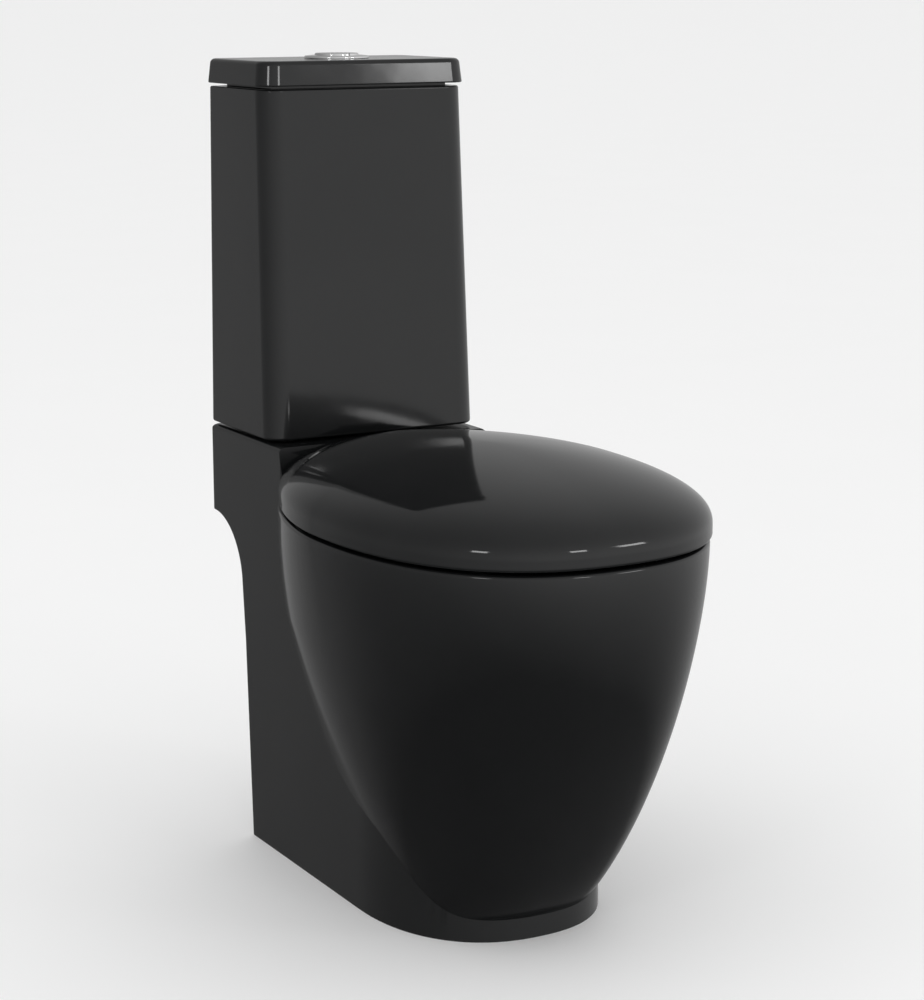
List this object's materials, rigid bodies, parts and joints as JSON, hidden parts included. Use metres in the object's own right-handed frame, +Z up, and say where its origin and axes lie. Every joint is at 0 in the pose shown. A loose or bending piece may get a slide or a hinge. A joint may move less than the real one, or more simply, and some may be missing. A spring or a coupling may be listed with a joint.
{
  "type": "close coupled toilet",
  "caption": "Close coupled toilet: half-egg bowl on a straight pedestal, slim cistern with dual flush button, wrap-over cover.",
  "frame": {"origin": "middle of the bounding box's base, on the floor", "axes": "+Z up, -Y towards the front of the bowl, +Y towards the wall, +X to the right of someone facing the wall"},
  "size_m": [0.369, 0.6304, 0.823],
  "materials": {
    "black_glaze": "glossy black glaze",
    "black_seat_plastic": "polished black urea plastic",
    "chrome": "bright chrome plate",
    "steel": "plain stainless steel",
    "black_rubber": "matt rubber",
    "pale_rubber": "soft pale grey rubber",
    "white_plastic": "moulded white plastic",
    "blue_plastic": "moulded blue plastic",
    "grey_plastic": "moulded grey plastic"
  },
  "bodies": {
    "root": {"button_bezel": "chrome", "button_collar_nut": "white_plastic", "cistern": "black_glaze", "cistern_bolt_left": "steel", "cistern_bolt_right": "steel", "cistern_bolt_seal_left": "black_rubber", "cistern_bolt_seal_right": "black_rubber", "cistern_bolt_washer_left": "steel", "cistern_bolt_washer_right": "steel", "cistern_lid": "black_glaze", "cistern_wing_nut_left": "steel", "cistern_wing_nut_right": "steel", "coupling_doughnut": "black_rubber", "fill_valve_backnut": "white_plastic", "fill_valve_body": "white_plastic", "fill_valve_head": "blue_plastic", "fill_valve_washer": "black_rubber", "flush_valve_backnut": "white_plastic", "flush_valve_base": "white_plastic", "flush_valve_tower": "white_plastic", "flush_valve_washer": "black_rubber", "hinge_bolt_left": "steel", "hinge_bolt_right": "steel", "hinge_pin_left": "steel", "hinge_pin_right": "steel", "hinge_plug_left": "black_rubber", "hinge_plug_nut_left": "steel", "hinge_plug_nut_right": "steel", "hinge_plug_right": "black_rubber", "hinge_post_left": "chrome", "hinge_post_right": "chrome", "pan": "black_glaze"},
    "seat_ring": {"ring_buffer_front_left": "pale_rubber", "ring_buffer_front_right": "pale_rubber", "ring_buffer_rear_left": "pale_rubber", "ring_buffer_rear_right": "pale_rubber", "seat_ring": "black_seat_plastic"},
    "seat_cover": {"cover_buffer_left": "pale_rubber", "cover_buffer_right": "pale_rubber", "seat_cover": "black_seat_plastic"},
    "full_button": {"full_flush_button": "chrome"},
    "half_button": {"half_flush_button": "chrome"},
    "full_lever": {"full_flush_lever": "grey_plastic"},
    "half_lever": {"half_flush_lever": "grey_plastic"},
    "overflow": {"overflow_tube": "blue_plastic", "flush_seal": "black_rubber"},
    "float": {"fill_valve_float": "grey_plastic"},
    "float_arm": {"float_lever": "grey_plastic"}
  },
  "joints": [
    {"name": "seat_ring_hinge", "type": "hinge", "parent": "root", "child": "seat_ring", "pos_m": [0, 0.1052, 0.418], "axis": [-1, 0, 0], "range_deg": [0, 90]},
    {"name": "seat_cover_hinge", "type": "hinge", "parent": "seat_ring", "child": "seat_cover", "pos_m": [0, 0.1052, 0.418], "axis": [1, 0, 0], "range_deg": [-91, 0]},
    {"name": "full_button_press", "type": "slide", "parent": "root", "child": "full_button", "axis": [0, 0, -1], "range_m": [0, 0.006], "stiffness_N_per_m": 400, "springref_m": -0.01},
    {"name": "half_button_press", "type": "slide", "parent": "root", "child": "half_button", "axis": [0, 0, -1], "range_m": [0, 0.006], "stiffness_N_per_m": 400, "springref_m": -0.01},
    {"name": "full_lever_rock", "type": "hinge", "parent": "root", "child": "full_lever", "pos_m": [-0.005, 0.2572, 0.738], "axis": [0, -1, 0], "range_deg": [0, 34.5]},
    {"name": "half_lever_rock", "type": "hinge", "parent": "root", "child": "half_lever", "pos_m": [0.005, 0.2312, 0.738], "axis": [0, 1, 0], "range_deg": [0, 34.5]},
    {"name": "overflow_lift", "type": "slide", "parent": "root", "child": "overflow", "axis": [0, 0, 1], "range_m": [0, 0.0145]},
    {"name": "float_rise", "type": "slide", "parent": "root", "child": "float", "axis": [0, 0, 1], "range_m": [0, 0.012]},
    {"name": "float_arm_rock", "type": "hinge", "parent": "root", "child": "float_arm", "pos_m": [0.078, 0.2517, 0.716], "axis": [-1, 0, 0], "range_deg": [0, 24.2]}
  ],
  "couplings": [
    {"joint": "full_lever_rock", "follows": "full_button_press", "rad_per_m": 100},
    {"joint": "overflow_lift", "follows": "full_button_press", "ratio": 2.4},
    {"joint": "half_lever_rock", "follows": "half_button_press", "rad_per_m": 100},
    {"joint": "float_arm_rock", "follows": "float_rise", "rad_per_m": 35}
  ]
}
